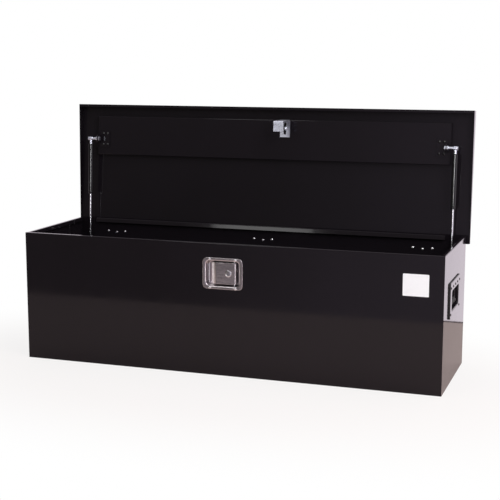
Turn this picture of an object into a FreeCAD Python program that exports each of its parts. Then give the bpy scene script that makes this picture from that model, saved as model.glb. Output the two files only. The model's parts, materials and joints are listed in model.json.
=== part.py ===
import FreeCAD, Part
import math
import os

# Jobsite storage box: a long, low box of folded sheet steel, its lid standing open on two gas struts.
# Millimetres. The origin is the middle of the base on the ground, +X to the box's right hand as seen
# from its front, +Y to the back, +Z up. The lid's pieces are drawn shut and then swung open.

# Overall body
body_length = 1220.0
body_width = 354.5
body_height = 373.0
body_sheet = 1.5
rim_lip = 10.0
rim_return = 12.0
fold_radius = 2.4
rear_return_lean = 4.0
rear_lip_end_gap = 58.0

# Lid pan
lid_open_angle = 94.8
lid_gap = 0.5
lid_sheet = 1.5
lid_side_overhang = 10.0
lid_front_overhang = 10.0
lid_rear_overhang = 14.5
lid_depth = 28.0
lid_rear_depth = 15.0
lid_return = 8.0
lid_side_rear_depth = 6.0

# Lid stiffener: a shallow channel welded under the lid
stiffener_end_inset = 55.0
stiffener_width = 120.0
stiffener_depth = 18.0
stiffener_sheet = 1.5
stiffener_from_edge = 36.0

# Hinges on the back
hinge_end_inset = 124.0
hinge_width = 76.0
hinge_axis_drop = 13.0
hinge_leaf = 1.5
hinge_leaf_height = 40.0
knuckle_radius = 4.0
knuckle_gap = 0.4
knuckle_shares = (0.18, 0.41, 0.59, 0.82)
hinge_pin_radius = 2.5
hinge_pin_head = 1.5
hinge_pin_head_radius = 3.4
hinge_rivet_pitch = 28.5
hinge_rivet_drop = 28.5
hinge_rivet_stagger = 3.0

# Clearances
running_gap = 0.05
hole_gap = 0.1
cut_gap = 0.4
open_pivot_gap = 0.4
overrun = 5.0
same_place = 0.0001
same_direction_share = 0.000001

# Blind rivets
rivet_shank = 2.0
rivet_head = 3.8
rivet_head_height = 1.6
rivet_tail = 3.2
rivet_tail_height = 1.4

# Gas struts
strut_past_stiffener = 17.0
strut_lid_from_edge = 107.0
strut_stud_drop = 19.0
strut_foot_inset = 18.0
strut_foot_drop = 88.0
strut_barrel_length = 158.0
strut_barrel_radius = 7.5
strut_barrel_wall = 1.5
strut_gland = 12.0
strut_rod_radius = 3.0
strut_piston_length = 10.0
strut_eye_radius = 7.0
strut_eye_width = 12.0
strut_neck_radius = 4.5
strut_neck_length = 16.0
strut_end_round = 2.5
stud_radius = 4.0
stud_collar_radius = 6.5
stud_collar = 4.0
stud_clip_radius = 5.4
stud_clip = 1.6
anchor_plate = 3.0
anchor_plate_width = 20.0
anchor_plate_height = 40.0
bracket_plate = 3.0
bracket_base_length = 33.0
bracket_base_width = 50.0
bracket_ear_width = 26.0
bracket_ear_below_stud = 9.0
bracket_screw_inset = 8.0
bracket_end_inset = 7.0
screw_shank = 2.0
screw_head = 4.0
screw_head_height = 2.2
screw_tail = 6.0

# Striker hook under the lid
striker_x = 60.5
striker_width = 30.0
striker_sheet = 2.5
striker_base = 52.0
striker_drop = 70.0
striker_lip = 30.0
striker_lean = 6.6
striker_press_depth = 0.8
striker_press_side = 5.0
striker_press_front = 11.0
striker_press_rear = 4.0
striker_round = 2.0
striker_slot_width = 8.0
striker_slot_length = 36.0
striker_screw_shank = 3.0
striker_screw_head = 5.6
striker_screw_head_height = 3.4
striker_nut_radius = 5.5
striker_nut_height = 5.0
nut_sides = 6

# Latch on the front
latch_drop = 84.0
bezel_width = 117.0
bezel_height = 88.0
bezel_corner = 13.0
latch_sheet = 1.5
dish_width = 97.0
dish_height = 70.0
dish_depth = 18.5
dish_corner = 11.0
latch_rivet_dx = 37.5
latch_rivet_dz = 40.0
paddle_width = 75.0
paddle_height = 60.0
paddle_offset = 0.0
paddle_sheet = 2.0
paddle_sunk = 3.0
paddle_roll = 9.0
paddle_corner = 3.0
paddle_pin_inset = 6.5
paddle_pin_depth = 7.0
paddle_pin_radius = 2.0
cheek_width = 13.0
cheek_depth = 10.0
tail_width = 4.0
tail_height = 6.0
tail_in_bolt = 8.0
tail_hub_radius = 4.5
window_before = 17.0
window_after = 4.0
window_side = 1.0

# Bolt behind the latch dish
bolt_length = 52.0
bolt_tip_x = 54.0
bolt_width = 16.0
bolt_height = 12.0
bolt_bevel = 8.0
bolt_above_lip = 0.6
bolt_slot_before = 6.0
bolt_slot_after = 3.0
bolt_slot_depth = 9.5
bolt_hook_gap = 2.5
bolt_slide_gap = 0.3
housing_wall = 3.0
housing_tip_gap = 2.0
housing_spring_room = 28.0
spring_wire = 0.8
spring_radius = 3.6
spring_turns = 9
spring_seat_gap = 0.2

# Lock in the paddle
lock_dx = 15.5
lock_flange_radius = 9.5
lock_flange = 1.4
lock_sleeve_radius = 8.0
lock_sleeve_length = 10.0
lock_plug_radius = 6.0
lock_key_width = 1.4
lock_key_height = 7.5
lock_key_depth = 5.0
lock_cam = 2.0
lock_cam_reach = 11.0

# Recessed handles on the ends
handle_y = -17.0
handle_drop = 87.0
handle_plate_width = 162.0
handle_plate_height = 98.0
handle_sheet = 2.0
handle_proud = 4.2
handle_corner = 4.0
pan_width = 111.0
pan_height = 55.0
pan_drop = 25.0
pan_depth = 38.0
pan_corner = 6.0
handle_axis_drop = 10.5
handle_axis_depth = 12.0
handle_rivet_pitch = 35.0
handle_rivet_drop = 14.0
handle_lower_rivet_drop = 86.0
handle_rivet_reach = 2
bail_radius = 3.5
bail_bend = 9.0
bail_drop = 30.0
bail_eye_radius = 5.5
bail_eye_width = 8.0
bail_eye_gap = 0.5
grip_radius = 7.5
grip_length = 78.0
grip_round = 2.5
handle_pin_radius = 2.8
handle_pin_head = 4.2
handle_pin_head_height = 2.0

# Blank label
label_from_end = 74.5
label_drop = 80.5
label_width = 69.0
label_height = 59.0
label_thickness = 0.2
label_corner = 2.0

# Places worked out from the sizes above
half_length = body_length / 2
half_width = body_width / 2
hinge_y = half_width + knuckle_radius
hinge_z = body_height - hinge_axis_drop
lid_under = body_height + lid_gap
lid_top = lid_under + lid_sheet
lid_half_length = half_length + lid_side_overhang
lid_front = -half_width - lid_front_overhang
lid_rear = half_width + lid_rear_overhang
stiffener_front = lid_front + stiffener_from_edge
stiffener_end = half_length - stiffener_end_inset
stiffener_face = lid_under - stiffener_depth
strut_x = stiffener_end + strut_past_stiffener
strut_lid_y = lid_front + strut_lid_from_edge
strut_lid_z = stiffener_face - strut_stud_drop
front_face = -half_width
latch_z = body_height - latch_drop
dish_back = front_face + dish_depth
paddle_face = front_face + paddle_sunk
paddle_left = paddle_offset - paddle_width / 2
paddle_right = paddle_offset + paddle_width / 2
paddle_pin_x = paddle_right - paddle_pin_inset
paddle_pin_y = paddle_face + paddle_pin_depth
striker_foot = stiffener_face - striker_drop
bolt_low = striker_foot + striker_sheet + bolt_above_lip
bolt_front = stiffener_front + striker_lean + striker_sheet + bolt_hook_gap
bolt_mid_y = bolt_front + bolt_width / 2
bolt_mid_z = bolt_low + bolt_height / 2
bolt_rear_x = bolt_tip_x - bolt_length
housing_right = striker_x - striker_width / 2 - housing_tip_gap
housing_left = bolt_rear_x - housing_spring_room - housing_wall
handle_top = body_height - handle_drop
label_x = half_length - label_from_end
label_z = body_height - label_drop

along_x = FreeCAD.Vector(1, 0, 0)
along_y = FreeCAD.Vector(0, 1, 0)
along_z = FreeCAD.Vector(0, 0, 1)


def point(x, y, z):
    return FreeCAD.Vector(x, y, z)


def block(x0, x1, y0, y1, z0, z1):
    return Part.makeBox(x1 - x0, y1 - y0, z1 - z0, point(x0, y0, z0))


def bar(start, end, radius):
    run = end - start
    return Part.makeCylinder(radius, run.Length, start, run)


def joined(*shapes):
    whole = shapes[0].fuse(list(shapes[1:]))
    return whole.removeSplitter()


def edges_through(shape, direction, places):
    """The straight edges that run along direction and pass through one of the places."""
    edges = []
    for edge in shape.Edges:
        if not isinstance(edge.Curve, Part.Line):
            continue
        if edge.Curve.Direction.cross(direction).Length > same_direction_share:
            continue
        start = edge.Vertexes[0].Point
        for place in places:
            offset = place - start
            if (offset - direction * offset.dot(direction)).Length < same_place:
                edges.append(edge)
    return edges


def rounded(shape, radius, direction, places):
    return shape.makeFillet(radius, edges_through(shape, direction, places))


def outline_x(points, x0, x1):
    """A straight piece along X with the outline that (y, z) points give."""
    corners = [point(x0, y, z) for y, z in points]
    face = Part.Face(Part.makePolygon(corners + corners[:1]))
    return face.extrude(point(x1 - x0, 0, 0))


def rounded_plate(x0, x1, z0, z1, corner, y0, y1):
    """A plate facing the front, with rounded corners."""
    plate = block(x0, x1, y0, y1, z0, z1)
    corners = [point(x, y0, z) for x in (x0, x1) for z in (z0, z1)]
    return rounded(plate, corner, along_y, corners)


def dome(foot, out, radius, height):
    """A low round head standing on foot, bulging along out."""
    ball = (radius * radius + height * height) / (2 * height)
    centre = foot + out * (height - ball)
    cap = Part.makeSphere(ball, centre, out)
    return cap.common(Part.makeCylinder(radius, height, foot, out))


def rivet(foot, out, grip):
    """A rivet whose head lies on foot and whose tail closes on the far side of grip."""
    shank = Part.makeCylinder(rivet_shank, grip, foot, out * -1)
    tail = dome(foot - out * grip, out * -1, rivet_tail, rivet_tail_height)
    return joined(dome(foot, out, rivet_head, rivet_head_height), shank, tail)


def hole(foot, out, radius, depth):
    start = foot + out * overrun
    return Part.makeCylinder(radius, depth + overrun + overrun, start, out * -1)


def open_lid(shape):
    """Swings a piece that was drawn on the shut lid to the lid's open place."""
    turned = shape.copy()
    turned.rotate(point(0, hinge_y, hinge_z), along_x, -lid_open_angle)
    return turned


def other_side(shape):
    return shape.mirror(point(0, 0, 0), along_x)


def save(name, *solids):
    shape = solids[0] if len(solids) == 1 else Part.makeCompound(list(solids))
    shape.exportStep("parts/" + name + ".step")


# Places of fasteners
def latch_rivet_feet():
    face = front_face - latch_sheet
    return [point(dx, face, latch_z + dz)
            for dx in (-latch_rivet_dx, latch_rivet_dx) for dz in (-latch_rivet_dz, latch_rivet_dz)]


def hinge_places():
    outer = half_length - hinge_end_inset
    return {"left": -outer, "middle": 0.0, "right": outer}


def hinge_body_rivet_feet(x):
    y = half_width + hinge_leaf
    low = hinge_z - hinge_rivet_drop
    feet = []
    for step in (-1, 0, 1):
        z = low if step else low - hinge_rivet_stagger
        feet.append(point(x + step * hinge_rivet_pitch, y, z))
    return feet


def hinge_lid_rivet_feet(x):
    z = (hinge_z + knuckle_radius + lid_under) / 2
    return [point(x + step * hinge_rivet_pitch, lid_rear, z) for step in (-1, 0, 1)]


def handle_rivet_feet():
    face = half_length + handle_proud
    upper = handle_top - handle_rivet_drop
    lower = handle_top - handle_lower_rivet_drop
    steps = range(-handle_rivet_reach, handle_rivet_reach + 1)
    feet = [point(face, handle_y + step * handle_rivet_pitch, upper) for step in steps]
    ends = (-handle_rivet_reach, handle_rivet_reach)
    feet += [point(face, handle_y + step * handle_rivet_pitch, lower) for step in ends]
    return feet


# Body panels
def wall_section(outer, lean):
    """Section of a long wall with its rim: outer is +1 for the back, -1 for the front."""
    face = half_width
    inner = face - rim_lip
    lip_low = body_height - rim_return
    under = body_height - body_sheet
    section = [(face, 0), (face, body_height), (inner, body_height), (inner - lean, lip_low),
               (inner - lean + body_sheet, lip_low), (inner + body_sheet, under),
               (face - body_sheet, under), (face - body_sheet, 0)]
    return [(outer * y, z) for y, z in section]


def rim_folds(outer):
    return [point(0, outer * half_width, body_height), point(0, outer * (half_width - rim_lip), body_height)]


def front_wall():
    wall = outline_x(wall_section(-1, 0), -half_length, half_length)
    wall = rounded(wall, fold_radius, along_x, rim_folds(-1))
    inner = -half_width + rim_lip
    end = half_length - body_sheet
    low = body_height - rim_return - overrun
    under = body_height - body_sheet
    corner = block(end, half_length + overrun, inner - body_sheet, inner + overrun, low, under)
    return wall.cut(corner).cut(other_side(corner))


def rear_wall():
    """The back, its rim stopping short of the struts and leaning in a little."""
    end = half_length - rear_lip_end_gap
    rim = outline_x(wall_section(1, rear_return_lean), -end, end)
    rim = rounded(rim, fold_radius, along_x, rim_folds(1))
    plain_end = block(end, half_length, half_width - body_sheet, half_width, 0, body_height)
    return joined(rim, plain_end, other_side(plain_end))


def front_panel():
    panel = front_wall()
    x = dish_width / 2 + latch_sheet + cut_gap
    z = dish_height / 2 + latch_sheet + cut_gap
    corner = dish_corner + latch_sheet + cut_gap
    inside = front_face + body_sheet
    opening = rounded_plate(-x, x, latch_z - z, latch_z + z, corner, front_face - overrun, inside + overrun)
    panel = panel.cut(opening)
    for foot in latch_rivet_feet():
        panel = panel.cut(hole(foot, along_y * -1, rivet_shank + hole_gap, latch_sheet + body_sheet))
    return panel


def rear_panel():
    panel = rear_wall()
    for x in hinge_places().values():
        for foot in hinge_body_rivet_feet(x):
            panel = panel.cut(hole(foot, along_y, rivet_shank + hole_gap, hinge_leaf + body_sheet))
    return panel


def floor_panel():
    x = half_length - body_sheet
    y = half_width - body_sheet
    return block(-x, x, -y, y, 0, body_sheet)


def right_end_panel():
    y = half_width - body_sheet
    inner = half_length - body_sheet
    under = body_height - body_sheet
    wall = block(inner, half_length, -y, y, 0, under)
    y = half_width - rim_lip
    lip = block(half_length - rim_lip, half_length, -y, y, under, body_height)
    low = body_height - rim_return
    edge = block(half_length - rim_lip, half_length - rim_lip + body_sheet, -y, y, low, body_height)
    panel = joined(wall, lip, edge)
    folds = [point(half_length, 0, body_height), point(half_length - rim_lip, 0, body_height)]
    panel = rounded(panel, fold_radius, along_y, folds)
    for foot in handle_rivet_feet():
        panel = panel.cut(hole(foot, along_x, rivet_shank + hole_gap, handle_proud + body_sheet))
    return panel.cut(handle_pan(handle_sheet + cut_gap, inner - overrun, half_length + overrun))


def label():
    x = label_width / 2
    z = label_height / 2
    face = front_face - label_thickness
    return rounded_plate(label_x - x, label_x + x, label_z - z, label_z + z, label_corner, face, front_face)


# Lid pieces, drawn shut
def lid_pan():
    x = lid_half_length
    low = lid_top - lid_depth
    outer = block(-x, x, lid_front, lid_rear, low, lid_top)
    folds = [point(0, lid_front, lid_top), point(0, lid_rear, lid_top)]
    outer = rounded(outer, fold_radius, along_x, folds)
    inner_x = x - lid_sheet
    inner_front = lid_front + lid_sheet
    inner_rear = lid_rear - lid_sheet
    pan = outer.cut(block(-inner_x, inner_x, inner_front, inner_rear, low - overrun, lid_under))
    rear_low = lid_top - lid_rear_depth
    short_rear = block(-inner_x, inner_x, inner_rear - lid_sheet, lid_rear + overrun, low - overrun, rear_low)
    pan = pan.cut(short_rear)
    side_low = lid_top - lid_side_rear_depth
    taper = [(inner_front, low), (lid_rear, side_low), (lid_rear, low)]
    right_taper = outline_x(taper, inner_x, x)
    pan = pan.cut(right_taper).cut(other_side(right_taper))
    front_edge = block(-inner_x, inner_x, inner_front, lid_front + lid_return, low, low + lid_sheet)
    pan = joined(pan, front_edge)
    for hinge_x in hinge_places().values():
        for foot in hinge_lid_rivet_feet(hinge_x):
            pan = pan.cut(hole(foot, along_y, rivet_shank + hole_gap, lid_sheet))
    return pan


def bracket_screw_feet():
    """Right-hand strut bracket's screws, on the face of its base."""
    outer = stiffener_end - bracket_end_inset
    inner = outer - bracket_base_length
    y = bracket_base_width / 2 - bracket_screw_inset
    face = stiffener_face - bracket_plate
    return [point(x, strut_lid_y + dy, face)
            for x in (inner + bracket_screw_inset, outer - bracket_plate - bracket_screw_inset)
            for dy in (-y, y)]


def striker_screw_foot():
    return point(striker_x, stiffener_front + striker_base / 2, stiffener_face - striker_sheet)


def stiffener():
    x = stiffener_end
    rear = stiffener_front + stiffener_width
    tray = block(-x, x, stiffener_front, rear, stiffener_face, lid_under)
    folds = [point(0, stiffener_front, stiffener_face), point(0, rear, stiffener_face)]
    tray = rounded(tray, fold_radius, along_x, folds)
    t = stiffener_sheet
    room = block(t - x, x - t, stiffener_front + t, rear - t, stiffener_face + t, lid_under + overrun)
    tray = tray.cut(room)
    screw_depth = bracket_plate + stiffener_sheet
    for foot in bracket_screw_feet():
        bore = hole(foot, along_z * -1, screw_shank + hole_gap, screw_depth)
        tray = tray.cut(bore).cut(other_side(bore))
    screw_depth = striker_sheet + stiffener_sheet
    bore = hole(striker_screw_foot(), along_z * -1, striker_screw_shank + hole_gap, screw_depth)
    return tray.cut(bore)


def striker():
    x0 = striker_x - striker_width / 2
    x1 = striker_x + striker_width / 2
    t = striker_sheet
    front = stiffener_front
    base_low = stiffener_face - t
    heel = front + striker_lean
    section = [(heel, striker_foot), (front, stiffener_face), (front + striker_base, stiffener_face),
               (front + striker_base, base_low), (front + t, base_low), (heel + t, striker_foot + t),
               (heel + striker_lip, striker_foot + t), (heel + striker_lip, striker_foot)]
    hook = outline_x(section, x0, x1)
    folds = [point(0, heel, striker_foot), point(0, front, stiffener_face),
             point(0, front + t, base_low), point(0, heel + t, striker_foot + t)]
    hook = rounded(hook, striker_round, along_x, folds)
    press = block(x0 + striker_press_side, x1 - striker_press_side, heel + striker_press_front,
                  heel + striker_lip - striker_press_rear, striker_foot - overrun,
                  striker_foot + striker_press_depth)
    hook = hook.cut(press)
    foot = striker_screw_foot()
    half = (striker_slot_length - striker_slot_width) / 2
    r = striker_slot_width / 2
    low = base_low - overrun
    slot = block(foot.x - r, foot.x + r, foot.y - half, foot.y + half, low, stiffener_face + overrun)
    for dy in (-half, half):
        end = point(foot.x, foot.y + dy, low)
        slot = slot.fuse(Part.makeCylinder(r, t + overrun + overrun, end))
    return hook.cut(slot)


def striker_fasteners():
    foot = striker_screw_foot()
    down = along_z * -1
    grip = striker_sheet + stiffener_sheet
    shank = Part.makeCylinder(striker_screw_shank, grip + striker_nut_height, foot, along_z)
    screw = joined(dome(foot, down, striker_screw_head, striker_screw_head_height), shank)
    seat = foot + along_z * grip
    nut = hexagon(seat, striker_nut_radius, striker_nut_height)
    bore = Part.makeCylinder(striker_screw_shank + running_gap, striker_nut_height, seat)
    return [screw, nut.cut(bore)]


def hexagon(foot, radius, height):
    corners = []
    for step in range(nut_sides + 1):
        angle = 2 * math.pi * step / nut_sides
        corners.append(foot + point(radius * math.cos(angle), radius * math.sin(angle), 0))
    return Part.Face(Part.makePolygon(corners)).extrude(along_z * height)


# Hinges
def knuckle_spans(x):
    """Bounds along X of the five knuckles, body and lid in turn."""
    left = x - hinge_width / 2
    ends = [left] + [left + share * hinge_width for share in knuckle_shares] + [left + hinge_width]
    return list(zip(ends[:-1], ends[1:]))


def knuckles(x, first):
    gap = knuckle_gap / 2
    rings = []
    for start, end in knuckle_spans(x)[first::2]:
        centre = point(start + gap, hinge_y, hinge_z)
        rings.append(Part.makeCylinder(knuckle_radius, end - start - knuckle_gap, centre, along_x))
    return rings


def leaf_reliefs(x, first):
    """Room in a leaf for the other leaf's knuckles."""
    gap = knuckle_gap / 2
    radius = knuckle_radius + knuckle_gap
    rooms = []
    for start, end in knuckle_spans(x)[first::2]:
        centre = point(start - gap, hinge_y, hinge_z)
        rooms.append(Part.makeCylinder(radius, end - start + knuckle_gap, centre, along_x))
    return rooms


def pin_bore(x):
    start = point(x - hinge_width / 2 - overrun, hinge_y, hinge_z)
    return Part.makeCylinder(hinge_pin_radius + running_gap, hinge_width + overrun + overrun, start, along_x)


def hinge_body_leaf(x):
    half = hinge_width / 2
    low = hinge_z - hinge_leaf_height
    leaf = block(x - half, x + half, half_width, half_width + hinge_leaf, low, hinge_z)
    for room in leaf_reliefs(x, 1):
        leaf = leaf.cut(room)
    leaf = joined(leaf, *knuckles(x, 0))
    leaf = leaf.cut(pin_bore(x))
    for foot in hinge_body_rivet_feet(x):
        leaf = leaf.cut(hole(foot, along_y, rivet_shank + hole_gap, hinge_leaf))
    return leaf


def hinge_lid_leaf(x):
    half = hinge_width / 2
    inner = lid_rear - lid_sheet
    top = hinge_z + knuckle_radius
    shelf = block(x - half, x + half, hinge_y, inner, top - hinge_leaf, top)
    upright = block(x - half, x + half, inner - hinge_leaf, inner, top - hinge_leaf, lid_under)
    leaf = joined(shelf, upright)
    for room in leaf_reliefs(x, 0):
        leaf = leaf.cut(room)
    leaf = joined(leaf, *knuckles(x, 1))
    leaf = leaf.cut(pin_bore(x))
    for foot in hinge_lid_rivet_feet(x):
        leaf = leaf.cut(hole(foot, along_y, rivet_shank + hole_gap, lid_sheet + hinge_leaf))
    return leaf


def hinge_pin(x):
    start = point(x - hinge_width / 2, hinge_y, hinge_z)
    end = point(x + hinge_width / 2, hinge_y, hinge_z)
    pin = bar(start, end, hinge_pin_radius)
    left = dome(start, along_x * -1, hinge_pin_head_radius, hinge_pin_head)
    right = dome(end, along_x, hinge_pin_head_radius, hinge_pin_head)
    return joined(pin, left, right)


# Gas strut on the right hand, drawn at the open lid
def shut_stud():
    return point(strut_x, strut_lid_y, strut_lid_z)


def open_stud():
    return open_lid(Part.Vertex(shut_stud())).Point


def strut_foot():
    return point(strut_x, half_width - strut_foot_inset, body_height - strut_foot_drop)


def strut_line():
    run = strut_foot() - open_stud()
    return run.normalize()


def eye(centre):
    half = along_x * (strut_eye_width / 2)
    return bar(centre - half, centre + half, strut_eye_radius)


def eye_bore(centre):
    half = along_x * (strut_eye_width / 2 + overrun)
    return bar(centre - half, centre + half, stud_radius + running_gap)


def strut_barrel():
    top = open_stud()
    line = strut_line()
    head = top + line * strut_neck_length
    end = head + line * strut_barrel_length
    body = bar(head, end, strut_barrel_radius)
    rims = [edge for edge in body.Edges if isinstance(edge.Curve, Part.Circle)]
    body = body.makeFillet(strut_end_round, rims)
    neck = bar(top, head + line * strut_end_round, strut_neck_radius)
    barrel = joined(body, neck, eye(top))
    barrel = barrel.cut(eye_bore(top))
    room = strut_barrel_radius - strut_barrel_wall
    barrel = barrel.cut(bar(head + line * strut_gland, end - line * strut_gland, room))
    gland = bar(end - line * (strut_gland + overrun), end + line * overrun, strut_rod_radius + running_gap)
    return barrel.cut(gland)


def strut_rod():
    line = strut_line()
    foot = strut_foot()
    end = open_stud() + line * (strut_neck_length + strut_barrel_length)
    inner = end - line * (strut_gland + strut_piston_length)
    shaft = bar(inner, foot, strut_rod_radius)
    room = strut_barrel_radius - strut_barrel_wall
    piston = bar(inner, inner + line * strut_piston_length, room - running_gap)
    neck = bar(foot - line * strut_neck_length, foot, strut_neck_radius)
    rod = joined(shaft, piston, neck, eye(foot))
    return rod.cut(eye_bore(foot))


def lid_bracket():
    outer = stiffener_end - bracket_end_inset
    inner = outer - bracket_base_length
    half = bracket_base_width / 2
    low = stiffener_face - bracket_plate
    base = block(inner, outer, strut_lid_y - half, strut_lid_y + half, low, stiffener_face)
    half = bracket_ear_width / 2
    ear_low = strut_lid_z - bracket_ear_below_stud
    ear = block(outer - bracket_plate, outer, strut_lid_y - half, strut_lid_y + half, ear_low, stiffener_face)
    corners = [point(outer, strut_lid_y - half, ear_low), point(outer, strut_lid_y + half, ear_low)]
    ear = rounded(ear, bracket_ear_below_stud, along_x, corners)
    bracket = joined(base, ear)
    start = point(outer - bracket_plate - overrun, strut_lid_y, strut_lid_z)
    bracket = bracket.cut(Part.makeCylinder(stud_radius, bracket_plate + overrun + overrun, start, along_x))
    for foot in bracket_screw_feet():
        bracket = bracket.cut(hole(foot, along_z * -1, screw_shank + hole_gap, bracket_plate))
    return bracket


def lid_stud():
    """Stud through the bracket's ear, with a collar each side of it and a clip past the eye."""
    outer = stiffener_end - bracket_end_inset
    inner = outer - bracket_plate
    clip = strut_x + strut_eye_width / 2 + open_pivot_gap
    y = strut_lid_y
    z = strut_lid_z
    shaft = bar(point(inner - stud_collar, y, z), point(clip + stud_clip, y, z), stud_radius)
    rivet_end = bar(point(inner - stud_collar, y, z), point(inner, y, z), stud_collar_radius)
    collar = bar(point(outer, y, z), point(outer + stud_collar, y, z), stud_collar_radius)
    ring = bar(point(clip, y, z), point(clip + stud_clip, y, z), stud_clip_radius)
    return joined(shaft, rivet_end, collar, ring)


def bracket_screws():
    down = along_z * -1
    screws = []
    for foot in bracket_screw_feet():
        shank = Part.makeCylinder(screw_shank, bracket_plate + screw_tail, foot, along_z)
        screw = joined(dome(foot, down, screw_head, screw_head_height), shank)
        screws.append(screw)
        screws.append(other_side(screw))
    return screws


def strut_anchor():
    """Plate welded inside the end wall, with a stud that reaches the rod's eye."""
    wall = half_length - body_sheet
    y = anchor_plate_width / 2
    z = anchor_plate_height / 2
    face = wall - anchor_plate
    foot = strut_foot()
    plate = block(face, wall, foot.y - y, foot.y + y, foot.z - z, foot.z + z)
    tip = strut_x + strut_eye_width / 2 + open_pivot_gap
    stud = bar(point(face, foot.y, foot.z), point(tip, foot.y, foot.z), stud_radius)
    collar = bar(point(face, foot.y, foot.z), point(face - stud_collar, foot.y, foot.z), stud_collar_radius)
    return joined(plate, stud, collar)


# Latch
def latch_pan():
    x = bezel_width / 2
    z = bezel_height / 2
    face = front_face - latch_sheet
    bezel = rounded_plate(-x, x, latch_z - z, latch_z + z, bezel_corner, face, front_face)
    x = dish_width / 2 + latch_sheet
    z = dish_height / 2 + latch_sheet
    outer = rounded_plate(-x, x, latch_z - z, latch_z + z, dish_corner + latch_sheet, face, dish_back)
    pan = joined(bezel, outer)
    x = dish_width / 2
    z = dish_height / 2
    floor = dish_back - latch_sheet
    pan = pan.cut(rounded_plate(-x, x, latch_z - z, latch_z + z, dish_corner, face - overrun, floor))
    pan = pan.cut(tail_window(floor - overrun, dish_back + overrun))
    start = point(paddle_pin_x, paddle_pin_y, latch_z - bezel_height / 2)
    pan = pan.cut(Part.makeCylinder(paddle_pin_radius + running_gap, bezel_height, start))
    for foot in latch_rivet_feet():
        pan = pan.cut(hole(foot, along_y * -1, rivet_shank + hole_gap, latch_sheet))
    return pan


def tail_window(y0, y1):
    """Room for the paddle's tail to swing through the dish and the bolt housing."""
    half = tail_height / 2 + window_side
    x0 = paddle_pin_x - window_before
    x1 = paddle_pin_x + window_after
    return block(x0, x1, y0, y1, bolt_mid_z - half, bolt_mid_z + half)


def bent_sheet():
    """The paddle's sheet, its finger edge rolled inwards."""
    t = paddle_sheet
    start = paddle_left + paddle_roll
    back = paddle_face + paddle_roll
    diagonal = math.sqrt(0.5)

    def on_roll(radius):
        return point(start - radius * diagonal, back - radius * diagonal, 0)

    inner = paddle_roll - t
    outline = [
        Part.LineSegment(point(paddle_right, paddle_face, 0), point(start, paddle_face, 0)),
        Part.Arc(point(start, paddle_face, 0), on_roll(paddle_roll), point(paddle_left, back, 0)),
        Part.LineSegment(point(paddle_left, back, 0), point(paddle_left + t, back, 0)),
        Part.Arc(point(paddle_left + t, back, 0), on_roll(inner), point(start, paddle_face + t, 0)),
        Part.LineSegment(point(start, paddle_face + t, 0), point(paddle_right, paddle_face + t, 0)),
        Part.LineSegment(point(paddle_right, paddle_face + t, 0), point(paddle_right, paddle_face, 0)),
    ]
    wire = Part.Wire([curve.toShape() for curve in outline])
    sheet = Part.Face(wire).extrude(along_z * paddle_height)
    sheet.translate(along_z * (latch_z - paddle_height / 2))
    return sheet


def paddle():
    low = latch_z - paddle_height / 2
    high = latch_z + paddle_height / 2
    cheek_left = paddle_right - cheek_width
    cheek_back = paddle_face + cheek_depth
    lower = block(cheek_left, paddle_right, paddle_face, cheek_back, low, low + paddle_sheet)
    upper = block(cheek_left, paddle_right, paddle_face, cheek_back, high - paddle_sheet, high)
    half_x = tail_width / 2
    half_z = tail_height / 2
    tip = bolt_front + tail_in_bolt
    lever = block(paddle_pin_x - half_x, paddle_pin_x + half_x, paddle_face, tip,
                  bolt_mid_z - half_z, bolt_mid_z + half_z)
    foot = point(paddle_pin_x, paddle_pin_y, bolt_mid_z - half_z)
    hub = Part.makeCylinder(tail_hub_radius, tail_height, foot)
    whole = joined(bent_sheet(), lower, upper, lever, hub)
    corners = [point(paddle_right, 0, low), point(paddle_right, 0, high)]
    whole = rounded(whole, paddle_corner, along_y, corners)
    foot = point(paddle_pin_x, paddle_pin_y, low)
    whole = whole.cut(Part.makeCylinder(paddle_pin_radius + running_gap, paddle_height, foot))
    start = point(lock_dx, paddle_face, latch_z)
    return whole.cut(hole(start, along_y * -1, lock_sleeve_radius + hole_gap, paddle_sheet))


def paddle_pin():
    reach = dish_height / 2 + latch_sheet
    start = point(paddle_pin_x, paddle_pin_y, latch_z - reach)
    return Part.makeCylinder(paddle_pin_radius, 2 * reach, start)


def lock_sleeve():
    out = along_y * -1
    foot = point(lock_dx, paddle_face, latch_z)
    flange = Part.makeCylinder(lock_flange_radius, lock_flange, foot, out)
    sleeve = Part.makeCylinder(lock_sleeve_radius, lock_sleeve_length, foot, along_y)
    bore = hole(foot, out, lock_plug_radius + running_gap, lock_sleeve_length)
    return joined(flange, sleeve).cut(bore)


def lock_plug():
    face = paddle_face - lock_flange
    back = paddle_face + lock_sleeve_length + running_gap
    plug = bar(point(lock_dx, face, latch_z), point(lock_dx, back, latch_z), lock_plug_radius)
    half = lock_plug_radius
    cam = block(lock_dx - lock_cam_reach, lock_dx, back, back + lock_cam, latch_z - half, latch_z + half)
    hub = bar(point(lock_dx, back, latch_z), point(lock_dx, back + lock_cam, latch_z), lock_plug_radius)
    x = lock_key_width / 2
    z = lock_key_height / 2
    key = block(lock_dx - x, lock_dx + x, face - overrun, face + lock_key_depth, latch_z - z, latch_z + z)
    return joined(plug, cam, hub).cut(key)


def bolt():
    high = bolt_low + bolt_height
    body = block(bolt_rear_x, bolt_tip_x, bolt_front, bolt_front + bolt_width, bolt_low, high)
    tip = edges_through(body, along_y, [point(bolt_tip_x, 0, high)])
    body = body.makeChamfer(bolt_bevel, tip)
    half = tail_height / 2 + window_side
    slot = block(paddle_pin_x - bolt_slot_before, paddle_pin_x + bolt_slot_after,
                 bolt_front - overrun, bolt_front + bolt_slot_depth, bolt_mid_z - half, bolt_mid_z + half)
    return body.cut(slot)


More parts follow.
